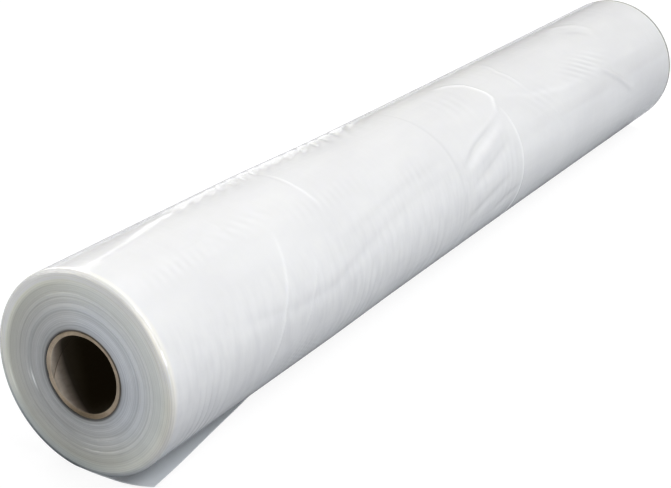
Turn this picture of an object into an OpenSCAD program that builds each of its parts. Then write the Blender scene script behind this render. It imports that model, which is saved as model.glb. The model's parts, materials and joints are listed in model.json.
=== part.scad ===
// A roll of shrink film: a wide web of translucent film, wound on a cardboard core.
// It lies on its side, with its axis along Y. The origin is on the floor under its middle,
// +X is the side to which the loose tail of the film runs out, and +Z is up.

/* [Core] */
// Inside diameter of the cardboard core, the usual 3 inch size
core_bore = 76; // [50:1:152]
// Thickness of the core's wall, five plies of board
core_wall = 5; // [3:0.5:12]
// How far each end of the core lies inside the face of the wound film
core_inset = 1; // [0:0.5:10]
// Clearance between the core and the first turn of film
core_fit = 0.2; // [0:0.05:0.5]

/* [Wound film] */
// Outside diameter of the full roll
roll_d = 200; // [190:1:400]
// Width of the film web, which is the length of the roll
web_w = 1300; // [600:10:2200]
// Rounding of the outermost turns at each end of the roll
lip_r = 4; // [1:0.5:6]
// How far the soft roll is pressed flat where it lies on the floor
flat_depth = 1; // [0.5:0.1:3]

/* [Turns on the end faces] */
// Number of bands that the turns form on each end face
band_count = 14; // [6:1:16]
// Most that one band of turns stands back from the end face
band_step = 1; // [0.4:0.1:1.5]

/* [Loose tail] */
// Thickness of the loose web, which is folded double
web_t = 0.3; // [0.2:0.05:1]
// How far the corner of the tail reaches past the roll's middle
tail_reach = 76; // [60:1:95]
// Slant of the tail's cut edge, in degrees from the roll's axis
tail_slant = 9.4; // [8:0.1:20]
// How far past the roll's middle the tail starts to lift off the floor
lift_start = 30; // [20:1:45]
// Radius of the curve in which the tail lifts
lift_r = 150; // [120:5:300]

/* [Hidden] */
$fn = 96;
// Extra length by which a cutting shape passes the face that it cuts
past = 1;

core_r = core_bore / 2 + core_wall;
core_len = web_w - 2 * core_inset;

roll_r = roll_d / 2;
first_r = core_r + core_fit;
axis_z = roll_r - flat_depth;
band_w = (roll_r - lip_r - first_r) / band_count;

// The bands stand back by amounts that wander from one to the next, as hand-led turns do
wander_turn = 152;
// Facets in the rounding of the outermost turns
lip_facets = 5;
function stand_back(band) = band_step * (1 + sin(wander_turn * band)) / 2;
function band_inner(band) = first_r + band * band_w;

// Corners of one end in half section, from the core outwards; end is 1 or -1
function end_steps(end) = [
    for (band = [0 : band_count - 1], side = [0, 1])
        [band_inner(band + side), end * (web_w / 2 - stand_back(band))]
];
function end_lip(end) = [
    for (turn = [0 : 90 / lip_facets : 90])
        [roll_r - lip_r + lip_r * sin(turn), end * (web_w / 2 - lip_r + lip_r * cos(turn))]
];
function end_outline(end) = concat(end_steps(end), end_lip(end));
function backwards(list) = [for (i = [len(list) - 1 : -1 : 0]) list[i]];

// Turns a shape that was built around Z to lie along Y, at the height of the roll's axis
module on_roll_axis() {
    translate([0, 0, axis_z]) rotate([-90, 0, 0]) children();
}

// The spiral-wound cardboard tube
module core() {
    color("tan") on_roll_axis() difference() {
        cylinder(r = core_r, h = core_len, center = true);
        cylinder(d = core_bore, h = core_len + 2 * past, center = true);
    }
}

// Half section through the wound turns, with radius along x and the roll's axis along y
module wound_section() {
    polygon(concat(end_outline(-1), backwards(end_outline(1))));
}

// All the turns, pressed flat where they lie on the floor
module wound_turns() {
    difference() {
        on_roll_axis() rotate_extrude() wound_section();
        translate([-roll_r, -web_w / 2 - past, -roll_r])
            cube([roll_d, web_w + 2 * past, roll_r]);
    }
}

// The web as it runs out from under the roll: flat on the floor, then curving up
module run_out_web() {
    translate([0, -web_w / 2, 0]) cube([lift_start, web_w, web_t]);
    intersection() {
        translate([lift_start, 0, lift_r]) rotate([-90, 0, 0]) difference() {
            cylinder(r = lift_r, h = web_w, center = true, $fn = 4 * $fn);
            cylinder(r = lift_r - web_t, h = web_w + 2 * past, center = true, $fn = 4 * $fn);
        }
        translate([lift_start, -web_w / 2, 0]) cube([roll_r, web_w, lift_r / 2]);
    }
}

// The loose end of the web, cut off on a slant
module tail() {
    slant_len = tail_reach / tan(tail_slant);
    intersection() {
        run_out_web();
        translate([0, -web_w / 2, 0]) linear_extrude(height = lift_r / 2)
            polygon([[0, 0], [tail_reach, 0], [0, slant_len]]);
    }
}

// The whole length of film, from the first turn on the core to the loose tail
module film() {
    color("whitesmoke") {
        wound_turns();
        tail();
    }
}

core();
film();
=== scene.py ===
import json
import math

import bmesh
import bpy
import numpy as np
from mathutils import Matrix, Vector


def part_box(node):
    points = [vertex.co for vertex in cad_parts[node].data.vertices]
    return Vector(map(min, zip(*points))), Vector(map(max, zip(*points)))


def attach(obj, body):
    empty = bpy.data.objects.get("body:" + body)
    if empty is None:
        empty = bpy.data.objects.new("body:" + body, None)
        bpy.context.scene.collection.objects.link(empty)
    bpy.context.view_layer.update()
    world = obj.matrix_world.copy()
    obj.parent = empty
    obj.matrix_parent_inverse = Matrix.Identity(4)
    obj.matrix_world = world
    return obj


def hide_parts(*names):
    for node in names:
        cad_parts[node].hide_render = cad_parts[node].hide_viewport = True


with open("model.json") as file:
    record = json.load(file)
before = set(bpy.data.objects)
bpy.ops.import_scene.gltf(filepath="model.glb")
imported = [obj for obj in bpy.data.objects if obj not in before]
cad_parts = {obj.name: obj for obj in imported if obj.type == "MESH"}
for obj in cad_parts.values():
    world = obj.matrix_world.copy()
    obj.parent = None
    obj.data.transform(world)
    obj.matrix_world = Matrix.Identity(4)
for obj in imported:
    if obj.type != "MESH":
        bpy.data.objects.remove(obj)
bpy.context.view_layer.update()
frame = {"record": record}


# Cardboard core
# A tube of five plies of brown board, wound on a slant round a mandrel, glued and sawn
# to length. It carries the film, which is wound straight onto it.
MM = 0.001
core_low, core_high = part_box("core")
film_low, film_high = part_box("film")
roll_r = (film_high.x - film_low.x) / 2
axis_z = film_high.z - roll_r
core_r = (core_high.x - core_low.x) / 2
bore = next(mount for mount in frame["record"]["mounts"] if mount["name"] == "core_bore")
bore_r = bore["dims"]["r_mm"] * MM
ply_count = 5
ply_t = (core_r - bore_r) / ply_count
seam_pitch = 180 * MM
round_steps = 168


def rows(start, stop, first_gap, growth):
    """Stations from start to stop that begin first_gap apart, each gap longer than the last."""
    stations = [start]
    gap = first_gap
    while stations[-1] + gap < stop:
        stations.append(stations[-1] + gap)
        gap *= growth
    stations.append(stop)
    return stations


def smooth_piece(name, bm):
    """Turns a finished bmesh into a smooth mesh object in the scene."""
    mesh = bpy.data.meshes.new(name)
    bm.to_mesh(mesh)
    bm.free()
    mesh.polygons.foreach_set("use_smooth", [True] * len(mesh.polygons))
    piece = bpy.data.objects.new(name, mesh)
    bpy.context.scene.collection.objects.link(piece)
    return piece


def spun(name, outline):
    """Spins a closed outline of (radius, y) points round the roll's axis into a mesh object."""
    bm = bmesh.new()
    verts = [bm.verts.new((r, y, axis_z)) for r, y in outline]
    edges = [bm.edges.new((verts[i - 1], verts[i])) for i in range(len(verts))]
    bmesh.ops.spin(
        bm, geom=verts + edges, cent=(0, 0, axis_z), axis=(0, 1, 0), dvec=(0, 0, 0),
        angle=math.tau, steps=round_steps, use_merge=True, use_normal_flip=False, use_duplicate=False,
    )
    bmesh.ops.remove_doubles(bm, verts=bm.verts, dist=0.01 * MM)
    bmesh.ops.recalc_face_normals(bm, faces=bm.faces)
    return smooth_piece(name, bm)


def polar(mesh):
    """Each vertex's distance from the roll's axis, its angle from +X upwards, and its y."""
    co = np.empty(len(mesh.vertices) * 3)
    mesh.vertices.foreach_get("co", co)
    co = co.reshape(-1, 3)
    return (np.hypot(co[:, 0], co[:, 2] - axis_z),
            np.arctan2(co[:, 2] - axis_z, co[:, 0]), co[:, 1])


def set_polar(mesh, r, angle, y):
    """Moves each vertex to a distance, an angle and a y, but never below the floor."""
    co = np.stack([r * np.cos(angle), y, axis_z + r * np.sin(angle)], 1)
    co[:, 2] = np.maximum(co[:, 2], 0)
    mesh.vertices.foreach_set("co", co.ravel())
    mesh.update()


wall_rows = rows(core_low.y, 0, first_gap=2.5 * MM, growth=1.12)
wall_rows += [-y for y in reversed(wall_rows[:-1])]
rim_rows = np.linspace(bore_r, core_r, ply_count * 4 + 1)
outline = [(bore_r, y) for y in wall_rows]
outline += [(r, core_high.y) for r in rim_rows[1:-1]]
outline += [(core_r, core_high.y), (core_r, core_low.y)]
outline += [(r, core_low.y) for r in rim_rows[-2:0:-1]]
core = spun("core_tube", outline)

# The sawn rims are frayed and open a little between the plies. The near one has a torn
# patch and a dent, whose places and spreads are angles in radians.
saw_depth = 0.25 * MM
long_fray = 0.18 * MM
short_fray = 0.12 * MM
groove_depth = 0.45 * MM
groove_half = 0.12
tear_depth = 0.9 * MM
tear_at = 1.9
tear_spread = 0.33
first_torn_ply = 3
dent_depth = 0.6 * MM
dent_length = 3 * MM
dent_at = 3.35
dent_spread = 0.07
# Both pieces reach this much further at the far end than the CAD model does
far_reach = 4 * MM
r, angle, y = polar(core.data)
end = np.sign(y)
on_rim = np.abs(y) > core_high.y - 0.1 * MM
ply = np.clip((r - bore_r) / (core_r - bore_r) * ply_count, 0, ply_count - 0.01)
groove = (np.abs(ply - np.round(ply)) < groove_half) & (ply > 0.5) & (ply < ply_count - 0.5)
fray = long_fray * np.sin(3 * angle + 2.1 * np.floor(ply) + end)
fray += short_fray * np.sin(11 * angle + 4 * np.floor(ply))
y -= end * on_rim * (saw_depth + fray + groove_depth * groove)
torn = on_rim & (end < 0) & (ply > first_torn_ply) & (np.abs(angle - tear_at) < tear_spread)
y += tear_depth * torn
dent = np.exp(-((angle % math.tau - dent_at) / dent_spread) ** 2)
dent *= np.exp(-((y - core_low.y) / dent_length) ** 2)
r -= dent_depth * dent
y += far_reach * np.clip(y / core_high.y, 0, 1) ** 2
set_polar(core.data, r, angle, y)


def new_material(name):
    """A new material, with its node tree, its shader and the object's coordinates."""
    made = bpy.data.materials.new(name)
    made.use_nodes = True
    tree = made.node_tree
    place = tree.nodes.new("ShaderNodeTexCoord").outputs["Object"]
    return made, tree, tree.nodes["Principled BSDF"], place


def feed(tree, value, socket):
    """Sets a socket to a number or a colour, or links the output of another node to it."""
    if isinstance(value, (int, float)):
        socket.default_value = value
    elif isinstance(value, tuple):
        socket.default_value = (*value, 1)
    else:
        tree.links.new(value, socket)


def worked_out(tree, operation, *terms):
    """The result of one operation on numbers and on values of other nodes."""
    step = tree.nodes.new("ShaderNodeMath")
    step.operation = operation
    for term, socket in zip(terms, step.inputs):
        feed(tree, term, socket)
    return step.outputs["Value"]


def spread(tree, value, start, stop, at_start=0.0, at_stop=1.0):
    """A number that goes evenly from at_start to at_stop while value goes from start to stop."""
    span = tree.nodes.new("ShaderNodeMapRange")
    span.inputs["From Min"].default_value = start
    span.inputs["From Max"].default_value = stop
    span.inputs["To Min"].default_value = at_start
    span.inputs["To Max"].default_value = at_stop
    tree.links.new(value, span.inputs["Value"])
    return span.outputs["Result"]


def coordinate(tree, place, letter):
    """The X, Y or Z of the shaded point."""
    split = tree.nodes.new("ShaderNodeSeparateXYZ")
    tree.links.new(place, split.inputs["Vector"])
    return split.outputs[letter]


def across(tree, place, aside=0.0):
    """The shaded point's place across the roll, from a centre moved aside to the lower left."""
    flat = tree.nodes.new("ShaderNodeMapping")
    flat.inputs["Location"].default_value = (aside, 0, aside - axis_z)
    flat.inputs["Scale"].default_value = (1, 0, 1)
    tree.links.new(place, flat.inputs["Vector"])
    return flat.outputs["Vector"]


def axis_distance(tree, place, aside=0.0):
    """Distance of the shaded point from the roll's axis, or from a line aside of it."""
    length = tree.nodes.new("ShaderNodeVectorMath")
    length.operation = "LENGTH"
    tree.links.new(across(tree, place, aside), length.inputs[0])
    return length.outputs["Value"]


def toward(tree, place, turn):
    """How far the shaded point lies toward a direction across the roll, from -1 to 1."""
    unit = tree.nodes.new("ShaderNodeVectorMath")
    unit.operation = "NORMALIZE"
    side = tree.nodes.new("ShaderNodeVectorMath")
    side.operation = "DOT_PRODUCT"
    side.inputs[1].default_value = (math.cos(math.radians(turn)), 0, math.sin(math.radians(turn)))
    tree.links.new(across(tree, place), unit.inputs[0])
    tree.links.new(unit.outputs["Vector"], side.inputs[0])
    return side.outputs["Value"]


def from_middle(tree, place):
    """Distance of the shaded point from the roll's middle, along its axis, in metres."""
    return worked_out(tree, "ABSOLUTE", coordinate(tree, place, "Y"))


def scaled_noise(tree, place, scale, detail):
    """Noise on the object's coordinates, stretched by a different scale on each axis."""
    mapping = tree.nodes.new("ShaderNodeMapping")
    mapping.inputs["Scale"].default_value = scale
    noise = tree.nodes.new("ShaderNodeTexNoise")
    noise.inputs["Scale"].default_value = 1.0
    noise.inputs["Detail"].default_value = detail
    tree.links.new(place, mapping.inputs["Vector"])
    tree.links.new(mapping.outputs["Vector"], noise.inputs["Vector"])
    return noise.outputs["Fac"]


def ramp(tree, value, stops):
    """Colours along value, given as stops of (value, colour) in rising order."""
    low, first = stops[0]
    high, last = stops[-1]
    band = tree.nodes.new("ShaderNodeValToRGB")
    marks = band.color_ramp.elements
    marks[0].color = (*first, 1)
    marks[-1].color = (*last, 1)
    for at, colour in stops[1:-1]:
        marks.new((at - low) / (high - low)).color = (*colour, 1)
    tree.links.new(spread(tree, value, low, high), band.inputs["Fac"])
    return band.outputs["Color"]


def mixed(tree, factor, a, b, blend="MIX"):
    """Colour a, turned into colour b as far as factor says."""
    mix = tree.nodes.new("ShaderNodeMix")
    mix.data_type = "RGBA"
    mix.blend_type = blend
    for value, socket in ((factor, mix.inputs[0]), (a, mix.inputs[6]), (b, mix.inputs[7])):
        feed(tree, value, socket)
    return mix.outputs[2]


def multiplied(tree, colour, *others):
    """A colour multiplied by each of the others in turn."""
    for other in others:
        colour = mixed(tree, 1.0, colour, other, "MULTIPLY")
    return colour


def bumped(tree, height, distance, below=None):
    """A bump of height times distance, laid over the bump below it."""
    bump = tree.nodes.new("ShaderNodeBump")
    bump.inputs["Distance"].default_value = distance
    tree.links.new(height, bump.inputs["Height"])
    if below:
        tree.links.new(below, bump.inputs["Normal"])
    return bump.outputs["Normal"]


# What a colour is multiplied by where it stays as it is
unchanged = (1.0, 1.0, 1.0)
board, tree, shader, place = new_material("tube board")

# Pale plies with dark glue lines between them, and a dark outer edge that is painted
# shade of the gap between tube and film. The colours of the plies and of the turns are
# centred a little to the lower left of the roll's axis.
off_centre = 1.1 * MM
ply_light = (0.64, 0.54, 0.42)
ply_dark = (0.42, 0.33, 0.25)
edge_start = core_r - 0.7 * MM
ply_stops = [(bore_r + 0.1 * MM, ply_light)]
for i in range(ply_count - 1):
    ply_stops += [(bore_r + (i + part) * ply_t, shade)
                  for part, shade in ((0.3, ply_light), (0.75, ply_light), (0.97, ply_dark))]
ply_stops += [
    (edge_start, ply_light),
    (edge_start + 0.01 * MM, (0.25, 0.22, 0.19)),
    (core_r, (0.12, 0.1, 0.08)),
]
plies = ramp(tree, axis_distance(tree, place, off_centre), ply_stops)
# The rim is painted with shade and light: darkest at its lowest point and brightest above its middle
rim_light_and_shade = ramp(tree, toward(tree, place, 90), [
    (-1, (0.40, 0.37, 0.31)),
    (-0.93, (0.60, 0.57, 0.52)),
    (-0.74, (0.95, 0.93, 0.90)),
    (-0.4, (0.98, 0.98, 0.98)),
    (-0.1, (0.88, 0.89, 0.9)),
    (0.3, (1.12, 1.13, 1.13)),
    (0.6, (1.1, 1.1, 1.1)),
    (0.95, (0.95, 0.94, 0.9)),
])
rim = multiplied(tree, plies, rim_light_and_shade)

# The wall of the bore carries painted light and shade: it is painted lit deepest on the side
# away from the tail, at lit_side degrees up from +X, and painted dark further in. The stops
# are in mm from the rim, with up to lit_slant added on that side.
lit_side = 200
lit_slant = 24 * MM
wall_light = (
    (-1.0, (0.018, 0.013, 0.007)),
    (4.6, (0.03, 0.024, 0.018)),
    (9.0, (0.18, 0.15, 0.12)),
    (13.5, (0.31, 0.26, 0.22)),
    (17.9, (0.52, 0.45, 0.38)),
    (20.6, (0.60, 0.52, 0.44)),
    (23.2, (0.42, 0.37, 0.31)),
    (26.0, (0.38, 0.33, 0.28)),
)
lit_reach = worked_out(
    tree, "MULTIPLY_ADD", toward(tree, place, lit_side), lit_slant, from_middle(tree, place),
)
wall = ramp(tree, lit_reach, [(core_high.y + past * MM, colour) for past, colour in wall_light])
rim_part = spread(tree, axis_distance(tree, place), bore_r, bore_r + 0.3 * MM)
fibres = scaled_noise(tree, place, (260, 90, 260), 6)
blotches = scaled_noise(tree, place, (30, 22, 30), 3)
fibre_tone = mixed(tree, fibres, (0.72, 0.7, 0.68), (1.2, 1.2, 1.2))
blotch_tone = mixed(tree, blotches, (0.8, 0.78, 0.76), (1.15, 1.15, 1.15))
brown = multiplied(tree, mixed(tree, rim_part, wall, rim), fibre_tone, blotch_tone)

# The helical seam of the lining meets the near rim on the lit side. Half a turn is added,
# so that its dark line lies in the middle of the ramp.
height = worked_out(tree, "SUBTRACT", coordinate(tree, place, "Z"), axis_z)
turned = worked_out(tree, "ARCTAN2", height, coordinate(tree, place, "X"))
seam_start = 0.5 - core_low.y / seam_pitch - lit_side / 360
part_turn = worked_out(tree, "MULTIPLY_ADD", turned, 1 / math.tau, seam_start)
helix = worked_out(tree, "MULTIPLY_ADD", coordinate(tree, place, "Y"), 1 / seam_pitch, part_turn)
seam = ramp(tree, worked_out(tree, "FRACT", helix), [
    (0.44, unchanged),
    (0.494, (0.86, 0.84, 0.82)),
    (0.498, (0.42, 0.38, 0.34)),
    (0.502, (0.5, 0.46, 0.42)),
    (0.506, (1.12, 1.1, 1.08)),
    (0.56, unchanged),
])
seamed = multiplied(tree, brown, seam)
feed(tree, mixed(tree, rim_part, seamed, brown), shader.inputs["Base Color"])
feed(tree, bumped(tree, seam, 0.4 * MM, bumped(tree, fibres, 0.5 * MM)), shader.inputs["Normal"])
shader.inputs["Roughness"].default_value = 0.85
shader.inputs["Specular IOR Level"].default_value = 0.25
# A faint warm glow of painted light, so that the deepest painted shade of the bore is dark brown and not
# black
shader.inputs["Emission Color"].default_value = (0.0036, 0.0025, 0.0011, 1)
shader.inputs["Emission Strength"].default_value = 1.0
core.data.materials.append(board)
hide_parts("core")
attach(core, "root")


# Wound film
# Hundreds of turns of soft polyethylene web, folded double and wound under tension.
# The edges of the turns make rings on both ends, and the outer turns hold folds.
film_length = (film_high.y - film_low.y) / MM
core_fit = 0.2 * MM
lip_depth = 4 * MM
lip_width = 6 * MM
face_rows = np.linspace(core_r + core_fit, roll_r - lip_width, 46)
lip_turns = np.linspace(0, math.pi / 2, 10)
skin_end = film_high.y - lip_depth
skin_rows = np.array(rows(-skin_end, skin_end, first_gap=1.75 * MM, growth=1.0022))
# Rows are drawn together at the creases that run round the roll, given in mm from the near end
hoop_creases = (301, 563, 737)
row_pull = 0.6
pull_reach = 12 * MM
for hoop in hoop_creases:
    past_hoop = skin_rows - film_low.y - hoop * MM
    skin_rows = skin_rows - row_pull * past_hoop * np.exp(-(past_hoop / pull_reach) ** 2)
near_end = [(r, film_low.y) for r in face_rows]
near_end += [(roll_r - lip_width * (1 - math.sin(t)), film_low.y + lip_depth * (1 - math.cos(t)))
             for t in lip_turns[1:-1]]
far_end = [(r, -y) for r, y in reversed(near_end)]
outline = near_end + [(roll_r, y) for y in skin_rows] + far_end
roll = spun("wound_film", outline)
r, angle, y = polar(roll.data)
# Columns are drawn together round the side that holds the large folds
column_pull = 0.35
folded_side = math.radians(45)
angle -= column_pull * np.sin(angle - folded_side)

# Folds of the outer turns. Places are (mm from the near end, degrees up from +X), widths
# and pitches are in mm, and heights are shares of fold_depth, also in mm. A last number
# paints a glint on the crest, or painted shade where it is negative.
along = (y - film_low.y) / MM
degrees = (np.degrees(angle) + 90) % 360 - 90
mm_per_degree = math.radians(1) * roll_r / MM
fold_depth = 3.0
lift = np.zeros(len(r))
glint_and_shade = np.zeros(len(r))


def fold(points, height, width, painted_light=0.0):
    """A fold along points: a ridge, or a furrow if height is negative; its last argument paints a glint on
    its crest, or painted shade where it is negative.
    """
    line = np.array(points, float) * (1, mm_per_degree)
    steps = np.hypot(*np.diff(line, axis=0).T)
    reach = np.concatenate([[0], np.cumsum(steps)])
    nearest = np.full(len(lift), 1e9)
    where = np.zeros(len(lift))
    for a, b, step, done in zip(line[:-1], line[1:], steps, reach):
        from_a = (along - a[0], degrees * mm_per_degree - a[1])
        t = np.clip((from_a[0] * (b[0] - a[0]) + from_a[1] * (b[1] - a[1])) / step ** 2, 0, 1)
        gap = np.hypot(from_a[0] - t * (b[0] - a[0]), from_a[1] - t * (b[1] - a[1]))
        closer = gap < nearest
        nearest[closer] = gap[closer]
        where[closer] = (done + t * step)[closer]
    fade = np.sin(math.pi * np.clip(where / reach[-1], 0.02, 0.98)) ** 0.5
    profile = fade * np.exp(-(nearest / width) ** 2)
    lift[:] += fold_depth * height * profile
    glint_and_shade[:] += painted_light * profile


def ripples(middle, size, slant, pitch, height, painted_light=0.0):
    """A patch of fine parallel ripples that run round the roll, leaning by slant mm a degree; its last
    argument paints glints along them.
    """
    u = along - middle[0]
    v = degrees - middle[1]
    patch = np.exp(-(u / size[0]) ** 2 * 2 - (v / size[1]) ** 2 * 2)
    unrest = 1.3 * np.sin(u / 31 + v / 11)
    wave = patch * np.cos(math.tau * (u - slant * v) / pitch + unrest)
    lift[:] += fold_depth * height * wave
    glint_and_shade[:] += painted_light * wave


# Creases that run round the roll on its near half
fold([(301, 88), (301, 70), (304, 52)], 0.15, 2.2, 0.7)
fold([(298, 96), (297, 86), (297, 70)], -0.1, 2.0, -0.3)
fold([(164, 78), (165, 60)], 0.10, 2)
fold([(563, 92), (565, 60), (571, 20), (575, -38)], -0.15, 2.4, -0.28)

# A shell-shaped bulge past the middle: its edge with a painted glint, then the ridges and
# furrows below that run from it toward the near end, and the crease at which it stops
fold([(690, 94), (712, 90), (729, 81), (739, 65), (739, 59), (720, 49)], 0.35, 3, 1.3)
fold([(739, 59), (720, 49), (679, 43), (621, 37), (583, 29)], 0.55, 4, 0.2)
fold([(719, 42), (680, 35), (630, 29), (588, 21)], 0.0, 4, 0.4)
fold([(690, 41), (635, 34), (590, 26)], -0.7, 5, -0.2)
fold([(712, 36), (650, 27), (590, 19)], 0.6, 6)
fold([(720, 27), (665, 17), (600, 9)], -0.65, 6, -0.15)
fold([(705, 1), (640, -6), (581, -14)], -0.35, 5, -0.15)
fold([(735, -14), (700, -16), (665, -20)], -0.3, 4, -0.2)
fold([(735, 48), (737, 20), (737, -46)], 0.3, 2.4, 1.0)

# Hooks and long soft ridges on the far part
fold([(832, 95), (816, 78), (822, 52)], 0.3, 3, 0.4)
fold([(828, 95), (809, 78), (814, 56)], 0.0, 3, -0.25)
fold([(758, 58), (824, 45), (903, 38), (978, 36)], 0.1, 4, 0.25)
fold([(860, 40), (978, 36), (1120, 35), (1270, 33)], 0.3, 8)
fold([(1040, 91), (1077, 95), (1106, 85), (1115, 73), (1098, 63)], 0.2, 7, 0.25)
fold([(1058, 82), (1083, 76), (1096, 66)], -0.15, 6, -0.25)
fold([(1019, 42), (1069, 27), (1132, 5)], 0.5, 4)
fold([(1030, 35), (1078, 21), (1128, 2)], 0.0, 4, -0.35)
fold([(853, 29), (874, 16)], 0.25, 3)

# Broad areas of the skin with only painted shade or painted light, and no fold
fold([(860, 16), (1060, 15), (1290, 13)], 0.0, 24, -0.4)
fold([(1130, -12), (1460, -6)], 0.0, 52, -0.6)
fold([(-120, -14), (300, -16)], 0.0, 38, -0.36)
fold([(470, -28), (850, -28)], 0.0, 26, 0.42)

# Hair creases, long furrows and one long ridge on the near part
fold([(214, 50), (203, 34), (187, 14), (156, -22)], 0.3, 2, 0.65)
fold([(251, 26), (231, 6), (210, -14)], 0.25, 2, 0.25)
fold([(60, 27), (100, 17), (156, 11), (207, 6), (274, 5), (332, 13), (398, 20), (465, 25), (581, 27)],
     -0.32, 6, -0.1)
fold([(300, 27), (332, 28), (400, 32), (465, 36), (560, 38)], -0.28, 5, -0.12)
fold([(20, 56), (340, 56)], 0.15, 5)

# Patches of fine ripples, low ones first and those on top last
ripples((56, -14), (36, 34), 0.25, 10, 0.12, 0.08)
ripples((222, -26), (50, 16), 1.7, 10, 0.14, 0.10)
ripples((330, -12), (70, 26), 0.35, 13, 0.09, 0.08)
ripples((405, 2), (110, 22), 0.3, 16, 0.08)
ripples((500, -8), (60, 28), 0.2, 17, 0.08, 0.08)
ripples((700, 4), (40, 32), 0.2, 15, 0.10, 0.15)
ripples((483, 38), (50, 9), 0.4, 14, 0.07, 0.12)
ripples((840, 40), (60, 14), -1.5, 23, 0.06, 0.12)
ripples((1000, 45), (75, 12), -3.2, 24, 0.12, 0.45)
ripples((314, 53), (90, 9), 0.3, 13, 0.05, 0.12)
ripples((78, 60), (60, 7), 0.5, 12, 0.07, 0.12)
ripples((190, 64), (60, 7), -0.8, 17, 0.07, 0.12)
ripples((660, 70), (45, 22), 0.6, 21, 0.05, 0.12)
ripples((440, 102), (110, 11), 2.1, 27, 0.42)
ripples((280, 102), (120, 9), 2.2, 22, 0.40)

# The side away from the tail has the same kinds of fold, strewn by chance
back_folds = 26
back_ripples = 10
chance = np.random.default_rng(7)
for i in range(back_folds):
    middle = np.array([chance.uniform(60, 1240), chance.uniform(130, 255)])
    lean = chance.choice([chance.normal(0, 6), chance.normal(30, 12), chance.normal(-30, 12)])
    rise = chance.uniform(12, 42)
    bow = chance.uniform(-14, 14)
    points = [middle + (lean * (part - 0.5) + bow * math.sin(math.pi * part), rise * (part - 0.5))
              for part in (0, 0.33, 0.66, 1)]
    height = chance.uniform(-0.4, 0.5)
    width = chance.uniform(2, 5)
    fold(points, height, width)
for i in range(back_ripples):
    middle = (chance.uniform(50, 1250), chance.uniform(130, 260))
    size = (chance.uniform(35, 110), chance.uniform(8, 30))
    slant = chance.uniform(-1.2, 1.2)
    pitch = chance.uniform(10, 17)
    ripples(middle, size, slant, pitch, 0.1)

# Rings on the ends, where bands of turns stand out or lie back, as (radius in mm, height, width)
stand_back = 0.85 * MM
ring_list = (
    (45.5, -0.5, 2.0),
    (50.5, 0.25, 1.0),
    (53.0, -0.3, 1.2),
    (56.5, 0.3, 1.4),
    (61.3, -0.8, 1.6),
    (66.0, 0.7, 1.5),
    (69.5, -0.3, 1.0),
    (72.3, 0.35, 1.0),
    (75.0, -0.4, 1.2),
    (78.0, 0.6, 1.4),
    (80.5, -0.3, 1.2),
    (84.5, 0.15, 1.5),
    (88.5, -0.2, 1.6),
    (92.5, 0.3, 1.6),
)
on_face = np.clip((roll_r - lip_width / 2 - r) / (lip_width / 2), 0, 1)
on_face *= np.abs(y) > film_high.y - lip_depth
ring_swing = 0.5 * np.sin(angle + 0.7) + 0.25 * np.sin(2 * angle + 2)
relief = sum(height * np.exp(-((r / MM - at - ring_swing) / width) ** 2) for at, height, width in ring_list)
y -= np.sign(y) * on_face * stand_back * (1 - relief)

# Short painted glints, bright arcs where single turns stand out of the near end, as (radius,
# degrees, spread, strength of the painted glint)
arc_width = 0.9
arcs = (
    (63.5, 198, 8, 4.8),
    (67, 194, 6, 1.8),
    (90.5, 196, 12, 2.4),
    (94, 22, 9, 1.3),
    (96.5, 27, 12, 1.8),
    (98.5, 34, 20, 2.2),
    (98, 80, 25, 1.0),
)
on_near = (along < lip_depth / MM) & (r < roll_r - 0.1 * MM)
for at, turn, arc_spread, painted_light in arcs:
    off_turn = (degrees - turn + 180) % 360 - 180
    glint_and_shade += painted_light * on_near * np.exp(-((r / MM - at) / arc_width) ** 2 - (off_turn / arc_spread) ** 2)

# The roll is a little fatter at its near third and at the lower left of the near end, and
# slimmer on top past its middle. Soft long waves run over all of it. All are in mm.
lower_left = math.radians(222)
top_side = math.radians(112)
sag_depth = 0.8
sag_reach = 12
swell = np.interp(along, (320, 450, film_length), (1.2, 0.2, 0.0))
swell += sag_depth * np.exp(-along / sag_reach) * np.clip(np.cos(angle - lower_left), 0, 1)
waist = np.interp(along, (300, 480, 750, 1100, film_length), (0.0, 1.6, 1.8, 1.4, 0.5))
waist *= 0.5 + 0.5 * np.cos(angle - top_side)
long_waves = 0.25 * np.sin(angle * 3 + y * 4) + 0.2 * np.sin(angle * 2 - y * 7 + 1)
# The folds grow lower over the last few mm before each end
end_loss = 0.75
end_reach = 9
from_end = np.minimum(along, film_length - along)
end_ease = 1 - end_loss * np.exp(-(from_end / end_reach) ** 2)
on_skin = np.clip((r - roll_r + lip_depth) / lip_depth, 0, 1)
r += on_skin * MM * (lift * end_ease + long_waves + swell - waist)
y += far_reach * np.clip(y / film_high.y, 0, 1) ** 2
set_polar(roll.data, r, angle, y)
glint_and_shade_layer = roll.data.attributes.new("glint_and_shade", "FLOAT", "POINT")
glint_and_shade_layer.data.foreach_set("value", glint_and_shade * np.maximum(on_skin, on_near))

web, tree, shader, place = new_material("wound film")
axis_gap = axis_distance(tree, place)
on_end = spread(tree, from_middle(tree, place), film_high.y - 8 * MM, film_high.y - 2.5 * MM)

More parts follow.
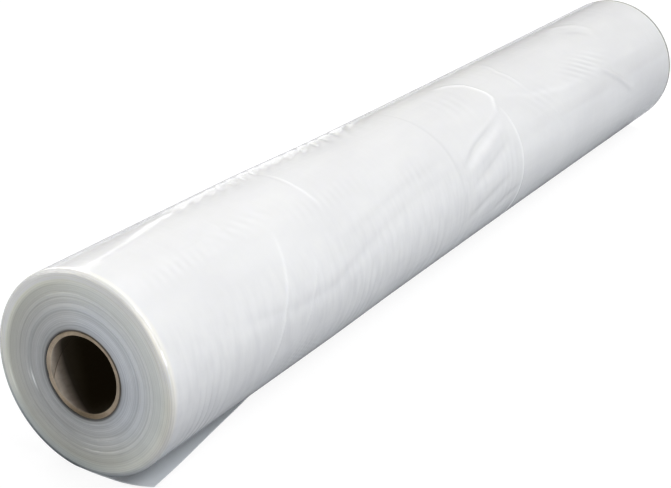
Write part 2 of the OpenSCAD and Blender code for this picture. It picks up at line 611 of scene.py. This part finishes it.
# Colours of the turns from the core outwards, by radius in mm: painted shade in the gap at
# the core, grey and cool inside, a little warmer outside, and then the skin. The turns grow
# brighter outwards with painted light that seeps in through the outer turns, and the
# lighter and darker bands between are partly painted shade of the rings' relief.
ring_colours = (
    (43, (0.10, 0.095, 0.09)),
    (44.3, (0.22, 0.22, 0.22)),
    (45.5, (0.58, 0.59, 0.60)),
    (48, (0.66, 0.68, 0.70)),
    (57, (0.80, 0.815, 0.83)),
    (61, (0.70, 0.715, 0.72)),
    (63, (0.71, 0.73, 0.735)),
    (66, (0.84, 0.855, 0.86)),
    (75, (0.79, 0.80, 0.775)),
    (78, (0.89, 0.90, 0.865)),
    (81, (0.82, 0.83, 0.785)),
    (87, (0.87, 0.88, 0.82)),
    (92, (0.95, 0.96, 0.89)),
    (97, (1.0, 1.0, 0.95)),
    (99.5, (0.85, 0.848, 0.85)),
)
rings = ramp(tree, axis_distance(tree, place, off_centre), [(at * MM, colour) for at, colour in ring_colours])

# Painted light and shade on the ends: the edges of the turns are painted lighter toward the
# top, the right and the upper left, as light that seeps in, and darker toward the lower left,
# most on the lip. Directions across the roll are in degrees up from +X.
inner_seep = ramp(tree, toward(tree, place, 20), [
    (-0.6, (0.72, 0.71, 0.69)),
    (0.0, (0.84, 0.83, 0.81)),
    (0.6, (1, 1.01, 1.03)),
])
top_seep = ramp(tree, toward(tree, place, 62), [
    (-0.95, (0.64, 0.67, 0.70)),
    (-0.74, (0.85, 0.86, 0.87)),
    (-0.54, (0.91, 0.91, 0.90)),
    (0.9, (1.06, 1.04, 0.98)),
])
left_seep = ramp(tree, toward(tree, place, 140), [
    (-0.2, unchanged),
    (0.3, (1.05, 1.05, 1.04)),
    (0.77, (1.14, 1.13, 1.08)),
    (0.95, (1.27, 1.26, 1.21)),
])
lip_seep = ramp(tree, toward(tree, place, 62), [
    (-1, (0.25, 0.27, 0.30)),
    (-0.88, (0.55, 0.58, 0.62)),
    (-0.54, (0.74, 0.76, 0.79)),
    (0.0, (0.97, 0.96, 0.94)),
    (0.9, (1.15, 1.13, 1.08)),
])
on_outer = spread(tree, axis_gap, 87 * MM, 94 * MM)
on_lip = spread(tree, axis_gap, 95 * MM, 97.5 * MM)
outer_seep = multiplied(tree, top_seep, left_seep, mixed(tree, on_lip, unchanged, lip_seep))
seep = mixed(tree, on_end, unchanged, mixed(tree, on_outer, inner_seep, outer_seep))

# A thin dark line of painted shade where the skin turns into the far end
far_shade = (0.31, 0.33, 0.35)
far_line = ramp(tree, coordinate(tree, place, "Y"), [
    (film_high.y - 5.0 * MM, unchanged),
    (film_high.y - 3.2 * MM, far_shade),
    (film_high.y + 2.0 * MM, far_shade),
    (film_high.y + 3.2 * MM, unchanged),
])

# The edges of single turns show as fine streaks on the ends
edges_per_metre = 700
turn_edges = tree.nodes.new("ShaderNodeTexNoise")
turn_edges.noise_dimensions = "1D"
turn_edges.inputs["Scale"].default_value = edges_per_metre
turn_edges.inputs["Detail"].default_value = 3
tree.links.new(axis_gap, turn_edges.inputs["W"])
streaks = ramp(tree, turn_edges.outputs["Fac"], [
    (0.3, (0.90, 0.90, 0.90)),
    (0.7, (1.10, 1.10, 1.10)),
])
end_streaks = mixed(tree, on_end, unchanged, streaks)

# Painted glints on the crests of folds, and painted shade in some furrows, come from the
# attribute; the skin is also a little uneven in tone
crest = tree.nodes.new("ShaderNodeAttribute")
crest.attribute_name = "glint_and_shade"
painted_glints_and_shade = ramp(tree, crest.outputs["Fac"], [
    (-1, (0.80, 0.80, 0.81)),
    (0, unchanged),
    (1, (1.17, 1.17, 1.17)),
    (3, (1.6, 1.6, 1.6)),
    (5, (2.2, 2.2, 2.2)),
])
clouds = ramp(tree, scaled_noise(tree, place, (24, 10, 24), 4), [
    (0.35, (0.978, 0.978, 0.98)),
    (0.65, (1.018, 1.018, 1.016)),
])

# Fine hair creases low on the near part, on the side of the tail, drawn only as painted
# light and shade in fine streaks
hairs = ramp(tree, scaled_noise(tree, place, (34, 120, 34), 2), [
    (0.35, (0.966, 0.966, 0.970)),
    (0.5, unchanged),
    (0.65, (1.027, 1.027, 1.025)),
])
low_side = spread(tree, toward(tree, place, -20), 0.5, 0.9, at_start=0.1)
near_part = spread(tree, coordinate(tree, place, "Y"), -60 * MM, 60 * MM, at_start=1.0, at_stop=0.22)
hair_part = worked_out(tree, "MULTIPLY", low_side, near_part)
hair_creases = mixed(tree, hair_part, unchanged, hairs)
shades = multiplied(tree, seep, far_line, end_streaks, painted_glints_and_shade, clouds, hair_creases)
feed(tree, multiplied(tree, rings, shades), shader.inputs["Base Color"])

# Bumps: bands that run round the roll, waves along it, and the edges of turns on the ends
bands = scaled_noise(tree, place, (14, 60, 14), 3)
waves = scaled_noise(tree, place, (34, 3, 34), 3)
edge_relief = mixed(tree, on_end, (0.5, 0.5, 0.5), turn_edges.outputs["Fac"])
wavy = bumped(tree, waves, 0.6 * MM, bumped(tree, bands, 0.3 * MM))
feed(tree, bumped(tree, edge_relief, 0.4 * MM, wavy), shader.inputs["Normal"])
# The painted glints on the crests are kept sharp: less light spreads inside the film there
inner_glow = spread(tree, crest.outputs["Fac"], 0.4, 1.2, at_start=0.8, at_stop=0.1)
feed(tree, inner_glow, shader.inputs["Subsurface Weight"])
shader.inputs["Subsurface Radius"].default_value = (1.0, 1.0, 0.95)
shader.inputs["Subsurface Scale"].default_value = 2.5 * MM
shader.inputs["Roughness"].default_value = 0.10
shader.inputs["IOR"].default_value = 1.5
roll.data.materials.append(web)
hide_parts("film")
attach(roll, "root")


# Loose tail
# The free end of the outermost turn. It runs out from under the roll, lies flat on the
# floor, lifts a little at its near corner, and is cut off on a slant.
tail_reach = 76 * MM
tail_length = 459 * MM
tail_start = 30 * MM
lift_start = 30 * MM
lift_bend = 150 * MM
web_t = 0.3 * MM
floor_gap = 0.05 * MM
# Toward the roll's far side the near edge eases back, and the sheet follows the underside
ease_start = 15 * MM
ease_length = 45 * MM
ease_back = 5 * MM
clear_of_roll = 1.2 * MM
# Past lift_start the sheet is rumpled, more and more over the first 20 mm
rumple_height = 0.5 * MM
rumple_reach = 20 * MM
bm = bmesh.new()
bmesh.ops.create_grid(bm, x_segments=60, y_segments=230, size=0.5)
bmesh.ops.scale(bm, vec=(tail_reach + tail_start, tail_length, 1), verts=bm.verts)
middle = ((tail_reach - tail_start) / 2, film_low.y + tail_length / 2, 0)
bmesh.ops.translate(bm, vec=middle, verts=bm.verts)
bmesh.ops.bisect_plane(
    bm, geom=bm.verts[:] + bm.edges[:] + bm.faces[:], dist=0.001 * MM,
    plane_co=(tail_reach, film_low.y, 0), plane_no=(tail_length, tail_reach, 0), clear_outer=True,
)
for vert in bm.verts:
    past = max(vert.co.x - lift_start, 0)
    under = min(max((ease_start - vert.co.x) / ease_length, 0), 1)
    vert.co.y += ease_back * under ** 2
    back = vert.co.y - film_low.y
    rumple = 0.35 * math.sin(60 * back + 25 * vert.co.x) + 0.5 * math.sin(27 * back - 40 * vert.co.x)
    lifted = lift_bend - math.sqrt(lift_bend ** 2 - past ** 2)
    vert.co.z = lifted + floor_gap + rumple_height * (1 + rumple) * min(past / rumple_reach, 1)
    if vert.co.x < 0:
        underside = axis_z - math.sqrt((roll_r + clear_of_roll) ** 2 - vert.co.x ** 2)
        vert.co.z = max(vert.co.z, underside)
bmesh.ops.recalc_face_normals(bm, faces=bm.faces)
bmesh.ops.solidify(bm, geom=bm.faces[:], thickness=web_t)
bmesh.ops.recalc_face_normals(bm, faces=bm.faces)
lowest = min(vert.co.z for vert in bm.verts)
bmesh.ops.translate(bm, vec=(0, 0, 0.02 * MM - lowest), verts=bm.verts)
tail = smooth_piece("loose_tail", bm)

sheet, tree, shader, place = new_material("loose film")
haze = scaled_noise(tree, place, (20, 8, 20), 2)
feed(tree, mixed(tree, haze, (0.70, 0.74, 0.78), (0.80, 0.84, 0.88)), shader.inputs["Base Color"])
feed(tree, bumped(tree, haze, 0.6 * MM), shader.inputs["Normal"])
shader.inputs["Roughness"].default_value = 0.22
shader.inputs["IOR"].default_value = 1.5
shader.inputs["Alpha"].default_value = 0.75
tail.data.materials.append(sheet)
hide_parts("film")
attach(tail, "root")


# Floor, light and camera
# A pale floor, wide soft lights from above and from both sides, two tall strips behind on
# the left for the long highlight, and a camera that looks down along the roll.
bm = bmesh.new()
bmesh.ops.create_grid(bm, x_segments=1, y_segments=1, size=40)
bmesh.ops.translate(bm, vec=(0, 0, -0.2 * MM), verts=bm.verts)
floor = smooth_piece("floor", bm)
# The floor is white to the camera, and a mid grey to everything that it lights
paper, tree, shader = new_material("pale floor")[:3]
seen = tree.nodes.new("ShaderNodeLightPath").outputs["Is Camera Ray"]
feed(tree, mixed(tree, seen, (0.38, 0.39, 0.41), (0.14, 0.14, 0.14)), shader.inputs["Base Color"])
feed(tree, mixed(tree, seen, (0.0, 0.0, 0.0), (0.89, 0.89, 0.89)), shader.inputs["Emission Color"])
shader.inputs["Emission Strength"].default_value = 1.0
shader.inputs["Roughness"].default_value = 0.9
shader.inputs["Specular IOR Level"].default_value = 0.1
floor.data.materials.append(paper)

world = bpy.data.worlds.new("studio")
bpy.context.scene.world = world
world.use_nodes = True
sky = world.node_tree.nodes["Background"]
sky.inputs["Color"].default_value = (0.9, 0.95, 1.0, 1)
sky.inputs["Strength"].default_value = 0.05


def softbox(name, size, spot, aim, power):
    """A rectangular white light at spot that faces aim."""
    lamp = bpy.data.lights.new(name, "AREA")
    lamp.shape = "RECTANGLE"
    lamp.size, lamp.size_y = size
    lamp.energy = power
    holder = bpy.data.objects.new(name, lamp)
    holder.location = spot
    to = np.array(aim) - np.array(spot)
    tilt = math.atan2(math.hypot(to[0], to[1]), -to[2])
    holder.rotation_euler = (tilt, 0, math.atan2(to[1], to[0]) - math.pi / 2)
    holder.visible_camera = False
    bpy.context.scene.collection.objects.link(holder)


def far_light(name, azimuth, elevation, width, strength, colour):
    """A far, wide light; azimuth 0 is in front of the near end and 90 is on the tail's side."""
    lamp = bpy.data.lights.new(name, "SUN")
    lamp.angle = math.radians(width)
    lamp.energy = math.pi * strength
    lamp.color = colour
    holder = bpy.data.objects.new(name, lamp)
    holder.rotation_euler = (math.radians(90 - elevation), 0, math.radians(azimuth))
    bpy.context.scene.collection.objects.link(holder)
    return holder


white = (1.0, 1.0, 1.0)
warm = (1.0, 0.99, 0.97)
cool = (0.92, 0.96, 1.0)
far_light("high right", 100, 54, 32, 0.63, white)
far_light("high behind", 180, 62, 40, 0.24, warm).visible_glossy = False
far_light("high glint", 180, 60, 38, 0.07, warm)
far_light("left", 242, 32, 40, 0.54, white)
far_light("low right", 65, 9, 12, 0.25, cool)
far_light("front left", 310, 10, 30, 0.31, warm)
softbox("low card", (0.45, 0.28), (-0.74, 0.585, 0.19), (0, 0.355, 0.19), 0.27)
softbox("tall strip, upper", (0.055, 0.7), (-2.216, 1.89, 1.487), (0.064, -0.62, 0.537), 0.14)
softbox("tall strip, lower", (0.09, 0.7), (-2.344, 2.03, 0.813), (-0.064, -0.48, -0.137), 0.26)

lens = bpy.data.cameras.new("photo view")
lens.sensor_width = 36
lens.lens = 77
looks_down = 21.72
looks_left = 31.02
camera = bpy.data.objects.new("photo view", lens)
camera.location = (0.787, -1.519, 0.684)
camera.rotation_euler = (math.radians(90 - looks_down), 0, math.radians(looks_left))
bpy.context.scene.collection.objects.link(camera)
bpy.context.scene.camera = camera
bpy.context.scene.view_settings.view_transform = "Standard"
